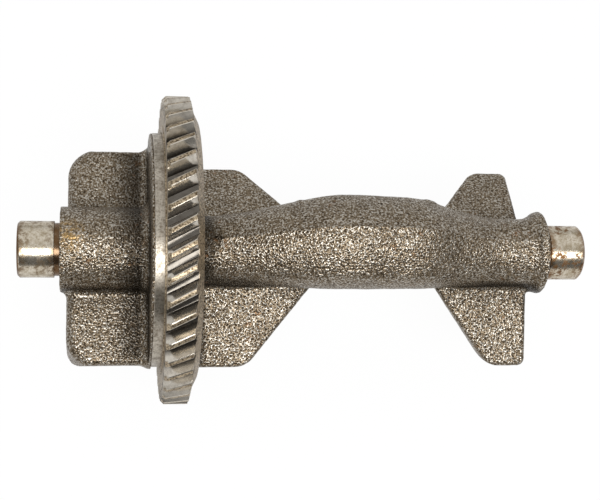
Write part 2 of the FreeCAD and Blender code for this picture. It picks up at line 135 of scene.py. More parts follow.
def meet(one: np.ndarray, other: np.ndarray, radius: float | np.ndarray) -> np.ndarray:
    """Overlap of two solids with their shared edge rounded.

    Both fields are distances, negative inside. Near the edge the distance is measured from the
    axis of a quarter round of the given radius, which lies that deep under both surfaces.

    Args:
        one: Distances to the first surface.
        other: Distances to the second surface.
        radius: Radius of the rounded edge.

    Returns:
        Distances to the rounded overlap.
    """
    corner = np.hypot(np.maximum(one + radius, 0.0), np.maximum(other + radius, 0.0))
    return np.minimum(-radius, np.maximum(one, other)) + corner


def join(one: np.ndarray, other: np.ndarray, radius: float) -> np.ndarray:
    """Union of two solids with a fillet in their inner corner: the rounded overlap inside out."""
    return -meet(-one, -other, radius)


def half_space(along: np.ndarray, across: np.ndarray, point: tuple[float, float],
               angle: float) -> np.ndarray:
    """Distance to a straight line in the plane of two coordinates.

    Args:
        along: First coordinate of the places.
        across: Second coordinate of the places.
        point: A point of the line.
        angle: Direction of the line's outward normal from the first axis, in degrees.

    Returns:
        Distances, positive on the side that the normal points to.
    """
    turn = math.radians(angle)
    return (along - point[0]) * math.cos(turn) + (across - point[1]) * math.sin(turn)


def arc_side(place: tuple[Any, Any], start: tuple[Any, Any], end: tuple[Any, Any],
             radius: np.ndarray) -> np.ndarray:
    """Distance to an arc that goes on along its tangents beyond its two ends.

    From the arc's centre the angle of a place is held between the angles of the two ends; the
    distance is the part of the place's own distance that lies along the held angle, less the
    radius.

    Args:
        place: Coordinates across and up of the places.
        start: First end of the arc.
        end: Second end, which follows counterclockwise.
        radius: Radius of the arc.

    Returns:
        Distances, positive on the outer side.
    """
    run = end[0] - start[0]
    rise = end[1] - start[1]
    length = np.hypot(run, rise)
    depth = np.sqrt(radius ** 2 - length ** 2 / 4)
    out_across = rise / length
    out_up = -run / length
    across = place[0] - (start[0] + end[0]) / 2 + out_across * depth
    up = place[1] - (start[1] + end[1]) / 2 + out_up * depth
    angle = np.arctan2(out_across * up - out_up * across, out_across * across + out_up * up)
    reach = np.arctan2(length / 2, depth)
    return np.hypot(across, up) * np.cos(angle - np.clip(angle, -reach, reach)) - radius


def ramp(value: np.ndarray, low: float, high: float) -> np.ndarray:
    """Straight ramp (value - low) / (high - low), held between 0 and 1; high may be the smaller."""
    return np.clip((value - low) / (high - low), 0.0, 1.0)


def slope_of(distance: Field, points: np.ndarray, step: float = 0.02) -> np.ndarray:
    """Gradient of a distance field from central differences (d(p + s) - d(p - s)) / 2s.

    Args:
        distance: The field.
        points: Places in millimetres.
        step: Half the span of the differences, in millimetres.

    Returns:
        One gradient for each point.
    """
    columns = []
    for axis in np.eye(3) * step:
        columns.append((distance(points + axis) - distance(points - axis)) / (2.0 * step))
    return np.stack(columns, axis=1)


def shelter_of(distance: Field, beside: Field, points: np.ndarray, reach: float) -> np.ndarray:
    """How far a surface lies in an inner corner, which sets how much painted shade it gets.

    A place that far out along the slope is that far from a flat or bulging surface, and nearer
    where another wall stands close by; the shelter is the share that is missing. The part beside
    shelters only what is close to it, so its distance counts several times over.

    Args:
        distance: The field of the solid.
        beside: The field of the part that stands beside it.
        points: Places on its surface.
        reach: How far out to look, in millimetres.

    Returns:
        Shares from 0 in the open to 1 in a narrow gap.
    """
    slope = slope_of(distance, points)
    out = points + slope * (reach / np.linalg.norm(slope, axis=1, keepdims=True))
    return ramp(np.minimum(distance(out), BESIDE_WEIGHT * beside(out)), reach, 0.0)


def gear_disc(points: np.ndarray) -> np.ndarray:
    """Distance to the rear half of the plain disc that the ring gear fills."""
    radius = np.hypot(points[:, 1], points[:, 2])
    ends = np.maximum((AT.gear_face + AT.seat_end) / 2 - points[:, 0], points[:, 0] - AT.seat_end)
    return meet(radius - RingGear.disc_radius, ends, radius=0.5)


def level_surface(distance: Field, low: np.ndarray, high: np.ndarray,
                  cell: float) -> tuple[np.ndarray, np.ndarray]:
    """Surface where a distance field is zero, worked out on a grid as whole arrays.

    Each grid cell that the surface crosses gets one vertex, at the mean of the places where the
    surface cuts the cell's edges. Each grid edge that is cut gets the quad of its four cells.
    The vertices are then moved down the field's slope onto the surface itself.

    Args:
        distance: The field, negative inside the solid.
        low: Lowest corner of the grid.
        high: Highest corner of the grid.
        cell: Edge of a grid cell.

    Returns:
        Vertices in millimetres and quads of vertex numbers.
    """
    counts = np.ceil((high - low) / cell).astype(int) + 1
    axes = [low[axis] + cell * np.arange(counts[axis]) for axis in range(3)]
    values = np.empty(counts)
    for number, station in enumerate(axes[0]):
        plane = np.stack(np.broadcast_arrays(station, axes[1][:, None], axes[2][None, :]), axis=-1)
        values[number] = distance(plane.reshape(-1, 3)).reshape(counts[1], counts[2])
    inside = values < 0.0
    cells = np.zeros((*counts, 4))
    edges = []
    for axis in range(3):
        near = [slice(1, -1)] * 3
        near[axis] = slice(0, -1)
        far = list(near)
        far[axis] = slice(1, None)
        cut = inside[tuple(near)] != inside[tuple(far)]
        index = np.argwhere(cut) + [0 if other == axis else 1 for other in range(3)]
        first = values[tuple(index.T)]
        beyond = index.copy()
        beyond[:, axis] += 1
        share = first / (first - values[tuple(beyond.T)])
        place = low + cell * index
        place[:, axis] += cell * share
        sides = [other for other in range(3) if other != axis]
        corners = []
        for back in ((0, 0), (1, 0), (1, 1), (0, 1)):
            owner = index.copy()
            owner[:, sides[0]] -= back[0]
            owner[:, sides[1]] -= back[1]
            np.add.at(cells, tuple(owner.T), np.column_stack((place, np.ones(len(place)))))
            corners.append(np.ravel_multi_index(tuple(owner.T), tuple(counts)))
        quads = np.stack(corners, axis=1)
        flip = inside[tuple(index.T)] != (axis == 1)
        quads[~flip] = quads[~flip][:, ::-1]
        edges.append(quads)
    cells = cells.reshape(-1, 4)
    used = np.flatnonzero(cells[:, 3])
    points = cells[used, :3] / cells[used, 3:]
    numbers = np.full(len(cells), -1)
    numbers[used] = np.arange(len(used))
    rounds, least_steep, stride = 3, 0.25, 0.9
    for _ in range(rounds):
        slope = slope_of(distance, points)
        steep = np.maximum((slope ** 2).sum(axis=1), least_steep)
        points -= slope * (distance(points) / steep)[:, None] * stride
    return points, numbers[np.concatenate(edges)]


def grid_quads(rows: int, columns: int, closed_rows: bool) -> np.ndarray:
    """Quads of a grid whose columns close round.

    Args:
        rows: Number of rows of points.
        columns: Number of points in a row.
        closed_rows: Whether the last row joins the first one too.

    Returns:
        Four point numbers for each quad.
    """
    last = rows if closed_rows else rows - 1
    row, column = np.meshgrid(np.arange(last), np.arange(columns), indexing="ij")
    following = (row + 1) % rows
    beside = (column + 1) % columns
    quads = np.stack((row * columns + column, row * columns + beside,
                      following * columns + beside, following * columns + column), axis=-1)
    return quads.reshape(-1, 4)


def store_mesh(name: str, points: np.ndarray, faces: list[np.ndarray], crease: float) -> bpy.types.Object:
    """Puts a surface into a new object at the origin, with smooth shading between its creases.

    Args:
        name: Name of the piece.
        points: Vertices in millimetres.
        faces: Arrays of faces, each with one row of vertex numbers for each face.
        crease: Angle in degrees from which an edge is shaded sharp.

    Returns:
        The object, riding on the part's body.
    """
    mesh = bpy.data.meshes.new(name)
    mesh.vertices.add(len(points))
    mesh.vertices.foreach_set("co", (points * MM).astype(np.float32).ravel())
    loops = np.concatenate([rows.ravel() for rows in faces])
    sizes = np.concatenate([np.full(len(rows), rows.shape[1]) for rows in faces])
    mesh.loops.add(len(loops))
    mesh.loops.foreach_set("vertex_index", loops.astype(np.int32))
    mesh.polygons.add(len(sizes))
    mesh.polygons.foreach_set("loop_start", (np.cumsum(sizes) - sizes).astype(np.int32))
    mesh.update(calc_edges=True)
    mesh.validate()
    mesh.shade_smooth()
    mesh.set_sharp_from_angle(angle=math.radians(crease))
    piece = bpy.data.objects.new(name, mesh)
    bpy.context.scene.collection.objects.link(piece)
    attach(piece, BODY)
    LOG.info("%s: %d vertices, %d faces", name, len(points), len(sizes))
    return piece


def store_values(piece: bpy.types.Object, name: str, values: np.ndarray) -> None:
    """Keeps one number for each vertex of a piece, for its material to read."""
    attribute = piece.data.attributes.new(name, "FLOAT", "POINT")
    attribute.data.foreach_set("value", values.astype(np.float32))


def turned(name: str, profile: np.ndarray, around: int = 288) -> bpy.types.Object:
    """Solid of revolution: each profile point (x, r) goes once round the shaft's axis.

    Args:
        name: Name of the piece.
        profile: Points from axis to axis, with the first and the last on the axis.
        around: Number of steps round the axis.

    Returns:
        The closed piece.
    """
    ring = profile[1:-1]
    angle = np.linspace(0.0, 2.0 * math.pi, around, endpoint=False)
    along = np.repeat(ring[:, :1], around, axis=1)
    radius = ring[:, 1:]
    points = np.stack((along, radius * np.cos(angle), radius * np.sin(angle)), axis=-1).reshape(-1, 3)
    poles = np.array([[profile[0, 0], 0.0, 0.0], [profile[-1, 0], 0.0, 0.0]])
    here = np.arange(around)
    there = (here + 1) % around
    start = len(points)
    last = (len(ring) - 1) * around
    first_cap = np.stack((np.full(around, start), there, here), axis=1)
    last_cap = np.stack((np.full(around, start + 1), last + here, last + there), axis=1)
    quads = grid_quads(len(ring), around, closed_rows=False)
    if profile[-1, 0] < profile[0, 0]:
        quads, first_cap, last_cap = quads[:, ::-1], first_cap[:, ::-1], last_cap[:, ::-1]
    return store_mesh(name, np.vstack((points, poles)), [quads, first_cap, last_cap], crease=40.0)


def eased(corners: list[tuple[float, float, float]], steps: int = 5) -> np.ndarray:
    """Outline through corners, each eased by a short curve.

    A corner (x, r, ease) with ease above 0 becomes a quadratic curve that starts and ends that
    far from it on its two sides: start (1-t)^2 + corner 2t(1-t) + end t^2.

    Args:
        corners: The corners in order, each with the length of its ease.
        steps: Number of points on each curve.

    Returns:
        Points (x, r) of the outline.
    """
    places = np.array([corner[:2] for corner in corners])
    outline = []
    share = np.linspace(0.0, 1.0, steps)[:, None]
    for number, (_, _, ease) in enumerate(corners):
        here = places[number]
        if ease <= 0.0:
            outline.append(here[None, :])
            continue
        before = places[number - 1] - here
        after = places[number + 1] - here
        start = here + before / np.linalg.norm(before) * ease
        end = here + after / np.linalg.norm(after) * ease
        outline.append(start * (1 - share) ** 2 + here * 2 * share * (1 - share) + end * share ** 2)
    return np.vstack(outline)


# Materials


class Kind(Enum):
    """Kinds of node: Blender's name, its settings, and the inputs that the values fill in order."""

    COORDINATES = "ShaderNodeTexCoord", {}, ()
    MAPPING = "ShaderNodeMapping", {}, ("Vector", "Scale")
    ATTRIBUTE = "ShaderNodeAttribute", {}, ()
    NOISE = "ShaderNodeTexNoise", {}, ("Vector", "Scale", "Detail", "Roughness")
    SPLIT = "ShaderNodeSeparateXYZ", {}, (0,)
    GATHER = "ShaderNodeCombineXYZ", {}, (0, 1, 2)
    STEP = "ShaderNodeMapRange", {"interpolation_type": "SMOOTHSTEP"}, (0, 1, 2, 3, 4)
    MIX = "ShaderNodeMix", {"data_type": "RGBA"}, (0, 6, 7)
    SUM = "ShaderNodeMath", {"operation": "ADD"}, (0, 1)
    DIFFERENCE = "ShaderNodeMath", {"operation": "SUBTRACT"}, (0, 1)
    PRODUCT = "ShaderNodeMath", {"operation": "MULTIPLY"}, (0, 1)
    LARGER = "ShaderNodeMath", {"operation": "MAXIMUM"}, (0, 1)
    UNSIGNED = "ShaderNodeMath", {"operation": "ABSOLUTE"}, (0,)
    SCALED = "ShaderNodeVectorMath", {"operation": "MULTIPLY"}, (0, 1)
    LENGTH = "ShaderNodeVectorMath", {"operation": "LENGTH"}, (0,)
    DISTANCE = "ShaderNodeVectorMath", {"operation": "DISTANCE"}, (0, 1)
    BUMP = "ShaderNodeBump", {}, ("Height", "Strength", "Distance")
    SHADER = "ShaderNodeBsdfPrincipled", {}, ("Base Color", "Metallic", "Roughness", "Normal")
    SURFACE = "ShaderNodeOutputMaterial", {}, ("Surface",)
    PAPER = "ShaderNodeBsdfDiffuse", {}, ("Color",)
    GLOW = "ShaderNodeEmission", {}, ("Color", "Strength")
    TWO_SHADERS = "ShaderNodeMixShader", {}, (0, 1, 2)
    RAY = "ShaderNodeLightPath", {}, ()
    BACKGROUND = "ShaderNodeBackground", {}, ("Color",)
    WORLD = "ShaderNodeOutputWorld", {}, ("Surface",)


def linear(shade: str) -> Colour:
    """Linear colour of an sRGB hex value such as #8A7F70."""
    parts = [int(shade[at:at + 2], 16) / 255.0 for at in (1, 3, 5)]
    values = [part / 12.92 if part <= 0.04045 else ((part + 0.055) / 1.055) ** 2.4 for part in parts]
    return values[0], values[1], values[2], 1.0


def grain_of(width: float, detail: float = 2.0, rough: float = 0.5) -> Grain:
    """Scale, detail and roughness of a noise whose lumps are about that many millimetres wide."""
    return 1.0 / width, detail, rough


def add_node(tree: Tree, kind: Kind, *values: Any, **settings: Any) -> Node:
    """Adds a node, sets its properties, and fills or links its inputs.

    Args:
        tree: Node tree of the material.
        kind: What the node is.
        values: A value, a socket or a node for each input; a node gives its first output in use.
        settings: Further property names and values.

    Returns:
        The new node.
    """
    name, own_settings, inputs = kind.value
    node = tree.nodes.new(name)
    for setting, value in {**own_settings, **settings}.items():
        setattr(node, setting, value)
    for place, value in zip(inputs, values):
        if isinstance(value, Node):
            value = next(output for output in value.outputs if output.enabled)
        if isinstance(value, bpy.types.NodeSocket):
            tree.links.new(value, node.inputs[place])
        else:
            node.inputs[place].default_value = value
    return node


def new_material(name: str) -> tuple[bpy.types.Material, Tree]:
    """An empty node material.

    Args:
        name: Name of the material.

    Returns:
        The material and its node tree.
    """
    material = bpy.data.materials.new(name)
    material.use_nodes = True
    material.node_tree.nodes.clear()
    return material, material.node_tree


def object_place(tree: Tree) -> Node:
    """Object coordinates in millimetres."""
    coordinates = add_node(tree, Kind.COORDINATES).outputs["Object"]
    return add_node(tree, Kind.MAPPING, coordinates, (1.0 / MM,) * 3)


def radius_of(tree: Tree, place: Node) -> Node:
    """Distance from the shaft's axis, in millimetres."""
    return add_node(tree, Kind.LENGTH, add_node(tree, Kind.SCALED, place, (0.0, 1.0, 1.0)))


def finish_surface(tree: Tree, base: str, coats: list[tuple[Node, Any]], metal: float, rough: Node,
                   relief: tuple[Node, float, float]) -> None:
    """Lays coats of colour over a base and ends the material with one principled shader.

    Args:
        tree: Node tree of the material.
        base: Colour under the coats.
        coats: Share and colour of each coat, from the lowest to the uppermost.
        metal: How metallic the surface is.
        rough: Roughness.
        relief: Height of the fine relief, its strength and its depth in millimetres.
    """
    colour = linear(base)
    for share, shade in coats:
        colour = add_node(tree, Kind.MIX, share, colour, linear(shade) if isinstance(shade, str) else shade)
    height, strength, depth = relief
    bump = add_node(tree, Kind.BUMP, height, strength, depth * MM)
    add_node(tree, Kind.SURFACE, add_node(tree, Kind.SHADER, colour, metal, rough, bump))


@dataclass(frozen=True)
class CastIron:
    """Sand-cast grey iron after shot blasting.

    The eye sees a brown-grey skin of pitted grains: the pits stay dull and dark, partly their own
    colour and partly painted shade, and the tops glint like dull metal wherever they face the
    light. Inner corners and the flanks of the beam are darkened with painted shade. Widths are in
    millimetres. A step has its two limits and, where they aren't 0 and 1, its values there.
    """

    # pit: colour in the grain's hollows, partly the skin's own dark colour and partly painted shade
    pit: str = "#33281C"
    skin: str = "#80715C"
    top: str = "#C3BDB2"
    rust: str = "#7A532C"
    gilt: str = "#B5935C"
    # painted shade: near-black colour laid into inner corners and onto the beam's flanks
    painted_shade: str = "#1F1912"
    pits: Grain = grain_of(0.52, detail=1.0, rough=0.35)
    lumps: Grain = grain_of(2.6, detail=1.0)
    patches: Grain = grain_of(7.0)
    stains: Grain = grain_of(2.2, detail=3.0)
    stain_groups: Grain = grain_of(16.0, detail=1.0)
    gilt_spots: Grain = grain_of(1.5)
    lump_share: float = 0.35
    gilt_place: tuple[float, float, float] = (9.5, 0.3, 12.1)
    skin_step: Step = (0.26, 0.46)
    top_step: Step = (0.49, 0.66)
    patch_step: Step = (0.35, 0.75, 0.0, 0.20)
    # limits of the painted shade's step, and its darkest share
    painted_shade_step: Step = (0.12, 0.85, 0.0, 0.78)
    stain_step: Step = (0.60, 0.72, 0.0, 0.6)
    group_step: Step = (0.50, 0.68)
    gilt_step: Step = (0.42, 0.60)
    gilt_reach: Step = (1.5, 6.0, 0.75, 0.0)
    dull_step: Step = (0.30, 0.70, 0.18, 0.0)
    roughness: float = 0.20
    relief: float = 1.0
    depth: float = 0.37
    metal: float = 0.88

    def material(self) -> bpy.types.Material:
        """The finish as a material on object coordinates.

        Returns:
            The new material.
        """
        material, tree = new_material("sand_cast_grey_iron")
        add = partial(add_node, tree)
        place = object_place(tree)
        grain = add(Kind.NOISE, place, *self.pits)
        patch = add(Kind.NOISE, place, *self.patches)
        lumps = add(Kind.NOISE, place, *self.lumps)
        height = add(Kind.SUM, grain, add(Kind.PRODUCT, lumps, self.lump_share))
        # painted shade share, from how deep the surface lies in an inner corner and from the flank band
        corner = add(Kind.ATTRIBUTE, attribute_name=SHELTER).outputs["Fac"]
        stain = add(Kind.NOISE, place, *self.stains)
        group = add(Kind.NOISE, place, *self.stain_groups)
        away = add(Kind.DISTANCE, place, self.gilt_place)
        gilt = add(Kind.NOISE, place, *self.gilt_spots)
        coats = [
            (add(Kind.STEP, grain, *self.skin_step), self.skin),
            (add(Kind.STEP, grain, *self.top_step), self.top),
            (add(Kind.STEP, patch, *self.patch_step), self.pit),
            (add(Kind.STEP, corner, *self.painted_shade_step), self.painted_shade),
            (add(Kind.PRODUCT, add(Kind.STEP, stain, *self.stain_step),
                 add(Kind.STEP, group, *self.group_step)), self.rust),
            (add(Kind.PRODUCT, add(Kind.STEP, away, *self.gilt_reach),
                 add(Kind.STEP, gilt, *self.gilt_step)), self.gilt),
        ]
        rough = add(Kind.SUM, add(Kind.STEP, grain, *self.dull_step), self.roughness)
        finish_surface(tree, self.pit, coats, self.metal, rough, (height, self.relief, self.depth))
        return material


@dataclass(frozen=True)
class TurnedIron:
    """Iron faced and turned on a lathe, or ground on a journal.

    The eye sees pale metal with fine rings round the axis, a sharp highlight along the shaft,
    and brown stains that oil and damp have left. Widths are in millimetres.
    """

    name: str
    metal_shade: str
    stain_shade: str
    rust_shade: str
    roughness: float
    ring: float
    stain: float
    speckle: float
    rust: float
    groove_radius: float = 0.0
    middle: float = 0.0
    half_length: float = 0.0
    wander: Grain = grain_of(9.0)
    clouds: Grain = grain_of(2.6, detail=4.0, rough=0.7)
    speckles: Grain = grain_of(0.55, rough=0.6)
    spots: Grain = grain_of(1.3, detail=4.0, rough=0.7)
    spot_groups: Grain = grain_of(5.0, detail=1.0)
    wander_share: float = 0.5
    ring_step: Step = (0.25, 0.75, 0.0, 0.30)
    stain_limits: Step = (0.40, 0.68, 0.0)
    speckle_limits: Step = (0.45, 0.70, 0.0)
    spot_limits: Step = (0.48, 0.57, 0.0)
    group_step: Step = (0.40, 0.52)
    end_step: Step = (0.35, 0.55)
    end_width: float = 2.4
    end_rust: float = 0.7
    groove_rust: float = 0.85
    groove_edge: float = 0.2
    groove_foot: tuple[float, float] = (1.2, 0.8)
    spot_roughness: float = 0.35
    ring_roughness: float = 0.12
    speckle_relief: float = 5.0
    relief: float = 0.4
    depth: float = 0.012
    metal: float = 0.92

    def material(self) -> bpy.types.Material:
        """The finish as a material on object coordinates.

        Returns:
            The new material.
        """
        material, tree = new_material(self.name)
        add = partial(add_node, tree)
        place = object_place(tree)
        radius = radius_of(tree, place)
        along = add(Kind.SPLIT, place).outputs[0]
        wander = add(Kind.PRODUCT, add(Kind.NOISE, place, *self.wander), self.wander_share)
        rings = add(Kind.GATHER, along, radius, wander)
        lines = add(Kind.NOISE, rings, *grain_of(self.ring, detail=3.0, rough=0.7))
        cloud = add(Kind.NOISE, place, *self.clouds)
        speckle = add(Kind.NOISE, place, *self.speckles)
        spot = add(Kind.NOISE, place, *self.spots)
        group = add(Kind.NOISE, place, *self.spot_groups)
        spots = add(Kind.PRODUCT, add(Kind.STEP, spot, *self.spot_limits, self.rust),
                    add(Kind.STEP, group, *self.group_step))
        coats = [
            (add(Kind.STEP, lines, *self.ring_step), self.stain_shade),
            (add(Kind.STEP, cloud, *self.stain_limits, self.stain), self.stain_shade),
            (add(Kind.STEP, speckle, *self.speckle_limits, self.speckle), self.stain_shade),
            (spots, self.rust_shade),
        ]
        if self.half_length > 0.0:
            away = add(Kind.UNSIGNED, add(Kind.DIFFERENCE, along, self.middle))
            inner = self.half_length - self.end_width
            end = add(Kind.STEP, away, inner, self.half_length, 0.0, self.end_rust)
            coats.append((add(Kind.PRODUCT, end, add(Kind.STEP, cloud, *self.end_step)), self.rust_shade))
        if self.groove_radius > 0.0:
            top = self.groove_radius
            rim = add(Kind.STEP, radius, top - self.groove_edge, top, self.groove_rust, 0.0)
            root = add(Kind.STEP, radius, *(top - depth for depth in self.groove_foot))
            coats.append((add(Kind.PRODUCT, rim, root), self.rust_shade))
        rough = add(Kind.SUM, add(Kind.PRODUCT, spots, self.spot_roughness),
                    add(Kind.PRODUCT, lines, self.ring_roughness))
        rough = add(Kind.SUM, rough, self.roughness)
        height = add(Kind.SUM, lines, add(Kind.PRODUCT, speckle, self.speckle_relief * self.speckle))
        finish_surface(tree, self.metal_shade, coats, self.metal, rough, (height, self.relief, self.depth))
        return material


@dataclass(frozen=True)
class GearSteel:
    """Hobbed and case-hardened gear steel.

    The eye sees bright flanks polished by the mating teeth, with painted shade towards the roots,
    and matt tan lands and chamfers, where the hardening has left its colour on the turned blank.
    Widths are in millimetres.
    """

    flank: str = "#DAD3C7"
    shade: str = "#8A7F70"
    # painted shade: near-black colour laid onto the flanks towards the tooth roots
    root_shade: str = "#231B13"
    land: str = "#C2B196"
    land_shade: str = "#5C4D39"
    # radii between which the painted shade fades out, and its darkest share
    root_radius: float = 39.8
    root_shade_top: float = 42.4
    root_shade_share: float = 0.80
    clouds: Grain = grain_of(2.4, detail=4.0, rough=0.6)
    pores: Grain = grain_of(0.5, rough=0.6)
    shade_step: Step = (0.40, 0.75, 0.0, 0.55)
    land_step: Step = (0.38, 0.60)
    stain_step: Step = (0.45, 0.70, 0.0, 0.35)
    roughness: float = 0.12
    land_roughness: float = 0.20
    cloud_roughness: float = 0.14
    flank_relief: float = 0.15
    land_relief: float = 0.85
    relief: float = 0.6
    depth: float = 0.10
    metal: float = 0.9

    def material(self) -> bpy.types.Material:
        """The finish as a material on object coordinates.

        Returns:
            The new material.
        """
        material, tree = new_material("hobbed_gear_steel")
        add = partial(add_node, tree)
        place = object_place(tree)
        cloud = add(Kind.NOISE, place, *self.clouds)
        fine = add(Kind.NOISE, place, *self.pores)
        # painted shade share, deepest at the tooth roots
        root_shade = add(Kind.STEP, radius_of(tree, place), self.root_radius, self.root_shade_top,
                    self.root_shade_share, 0.0)
        tan, brown = linear(self.land), linear(self.land_shade)
        matt = add(Kind.MIX, add(Kind.STEP, fine, *self.land_step), brown, tan)
        matt = add(Kind.MIX, add(Kind.STEP, cloud, *self.stain_step), matt, brown)
        blank = add(Kind.ATTRIBUTE, attribute_name=TURNED).outputs["Fac"]
        coats = [(add(Kind.STEP, cloud, *self.shade_step), self.shade), (root_shade, self.root_shade), (blank, matt)]
        rough = add(Kind.SUM, add(Kind.PRODUCT, blank, self.land_roughness),
                    add(Kind.PRODUCT, cloud, self.cloud_roughness))
        rough = add(Kind.SUM, rough, self.roughness)
        matt_relief = add(Kind.SUM, add(Kind.PRODUCT, blank, self.land_relief), self.flank_relief)
        height = add(Kind.PRODUCT, fine, matt_relief)
        finish_surface(tree, self.flank, coats, self.metal, rough, (height, self.relief, self.depth))
        return material


# Pieces


@dataclass
class Casting:
    """The shaft's iron casting: front hub with its block, and the beam with its weights."""

    hub_radius: float = 12.1
    hub_edge: float = 0.3
    hub_fillet: float = 2.0
    flange_radius: float = 33.1
    flange_edge: float = 0.5
    flange_rim: float = 0.65
    flange_fillet: float = 2.8
    block_radius: float = 32.9
    block_half_angle: float = 84.0
    block_corner: float = 8.4
    block_front_edge: float = 3.0
    block_side_edge: float = 2.0
    block_edge_run: float = 6.0
    weight_radius: float = 33.85
    weight_half_angle: float = 68.0
    weight_corner: float = 2.4
    weight_edge: float = 1.3
    web_slope: float = 51.3
    rear_slope: float = 54.5
    weight_fillet: float = 2.4
    neck_radius: float = 9.7
    boss_radius: float = 12.1
    beam_half_width: float = 13.2
    beam_rise: float = 7.5
    beam_crest: float = 20.0
    beam_keel: float = 3.8
    shoulder_share: float = 0.94
    flank_share: float = 0.39
    roof_share: float = 1.8
    beam_edge: float = 0.5
    neck_fillet: float = 0.8
    flare_edge: float = 0.8
    boss_edge: float = 0.4
    boss_fillet: float = 1.6
    seat_overlap: float = 1.5
    ridge_height: float = 0.32
    ridge_width: float = 0.5
    width_wander: float = 0.4
    height_range: tuple[float, float] = (0.75, 0.5)
    stubs: tuple[tuple[float, float, float], ...] = (
        (74.0, 11.5, 10.2), (111.5, 11.9, 11.2), (113.4, 11.8, 10.9))
    stub_height: float = 0.55
    stub_width: float = 1.1
    grain_height: float = 0.05
    fine_lump: float = 1.3
    coarse_lump: float = 3.1
    coarse_share: float = 1.1
    # painted shade in inner corners: how far out to look, and how dark, in the front and rear pieces
    front_reach: float = 15.0
    rear_reach: float = 26.0
    front_shade_strength: float = 1.0
    rear_shade_strength: float = 1.6
    # painted shade on the beam's flanks: strength, share at the rear and on the far side, angle band and
    # reaches
    flank_shade_strength: float = 0.68
    rear_share: float = 0.55
    far_share: float = 0.3
    shade_band_top: tuple[float, float] = (0.95, 0.60)
    shade_band_foot: tuple[float, float] = (0.0, 0.12)
    web_shade_reach: tuple[float, float] = (12.0, 0.0)
    rear_shade_start: tuple[float, float] = (-8.0, 2.0)
    rear_shade_end: tuple[float, float] = (-4.0, -10.0)
    front_cell: float = 0.38
    rear_cell: float = 0.48
    bow: list[tuple[float, float]] = field(default_factory=lambda: [
        (-0.21, 0.0), (-0.12, 0.05), (-0.02, 0.20), (0.14, 0.60), (0.32, 1.0), (0.53, 1.0), (0.70, 0.86),
        (0.86, 0.34), (1.05, 0.0), (1.2, 0.0)])

    def bow_at(self, along: np.ndarray) -> np.ndarray:
        """Swell of the beam at each station: a cubic through the table's points (Catmull-Rom).

        Args:
            along: Stations in millimetres.

        Returns:
            Share of the full bow, 0 in the necks and 1 in the middle.
        """
        table = np.array(self.bow)
        places = AT.web_end + (AT.rear_land_start - AT.web_end) * table[:, 0]
        slopes = np.gradient(table[:, 1], places)
        at = np.clip(np.searchsorted(places, along) - 1, 0, len(places) - 2)
        width = places[at + 1] - places[at]
        share = np.clip((along - places[at]) / width, 0.0, 1.0)
        rise = table[at + 1, 1] - table[at, 1]
        start, end = slopes[at] * width, slopes[at + 1] * width
        curve = share * start + share ** 2 * (3 * rise - 2 * start - end)
        curve += share ** 3 * (start + end - 2 * rise)
        return np.clip(table[at, 1] + curve, 0.0, 1.1)

    def beam(self, points: np.ndarray) -> np.ndarray:
        """Distance to the bowed beam, whose sections are bounded by arcs.

        Its roof, flank and keel are arcs, so a point's distance is the largest of its distances
        to them, with the edges between them eased.

        Args:
            points: Places in millimetres.

        Returns:
            Distances, negative inside.
        """
        along, across, up = points[:, 0], np.abs(points[:, 1]), points[:, 2]
        swell = self.bow_at(along)
        half_width = self.neck_radius + (self.beam_half_width - self.neck_radius) * swell
        middle = self.beam_rise * swell
        crest = self.neck_radius + (self.beam_crest - self.neck_radius) * swell
        keel = -self.neck_radius - (self.beam_keel - self.neck_radius) * swell
        shoulder = half_width * self.shoulder_share
        flank = half_width * self.flank_share
        bulge = half_width - shoulder
        flank_radius = (flank ** 2 + bulge ** 2) / (2 * bulge)
        place = (across, up)
        side = arc_side(place, (shoulder, middle - flank), (shoulder, middle + flank), flank_radius)
        roof_radius = half_width * (1.0 + (self.roof_share - 1.0) * swell)
        roof = arc_side(place, (shoulder, middle + flank), (0.0, crest), roof_radius)
        floor = arc_side(place, (0.0, keel), (shoulder, middle - flank), roof_radius)
        return meet(meet(roof, side, self.beam_edge), floor, self.beam_edge)

    def sector(self, meridian: np.ndarray, points: np.ndarray, half_angle: float, edge: Any) -> np.ndarray:
        """Part of a turned solid below its two flat faces, which spread from the axis.

        Args:
            meridian: Distances to the turned solid.
            points: Places in millimetres.
            half_angle: Degrees from straight down to each flat face.
            edge: Radius of the edge between land and flat face.

        Returns:
            Distances, negative inside.
        """
        turn = math.radians(half_angle)
        face = np.abs(points[:, 1]) * math.cos(turn) + points[:, 2] * math.sin(turn)
        return meet(meridian, face, edge)

    def parting_ridge(self, points: np.ndarray) -> np.ndarray:
        """Height of the flash that the two mould halves leave on the crest.

        Its section is a bell curve exp(-(y / width)^2), whose width and height wander along it.

        Args:
            points: Places in millimetres.

        Returns:
            Heights in millimetres.
        """
        width = self.ridge_width * (1.0 + self.width_wander * lattice_noise(points, grain=6.0, seed=11))
        middle, swing = self.height_range
        height = self.ridge_height * (middle + swing * lattice_noise(points, grain=3.5, seed=12))
        return np.exp(-(points[:, 1] / width) ** 2) * height * (points[:, 2] > 0)

    def flash_stubs(self, points: np.ndarray) -> np.ndarray:
        """Height of the stubs of broken flash on the beam's far edge, each a round bell curve.

        Args:
            points: Places in millimetres.

        Returns:
            Heights in millimetres.
        """
        height = np.zeros(len(points))
        for place in self.stubs:
            height += self.stub_height * np.exp(-(((points - place) / self.stub_width) ** 2).sum(axis=1))
        return height

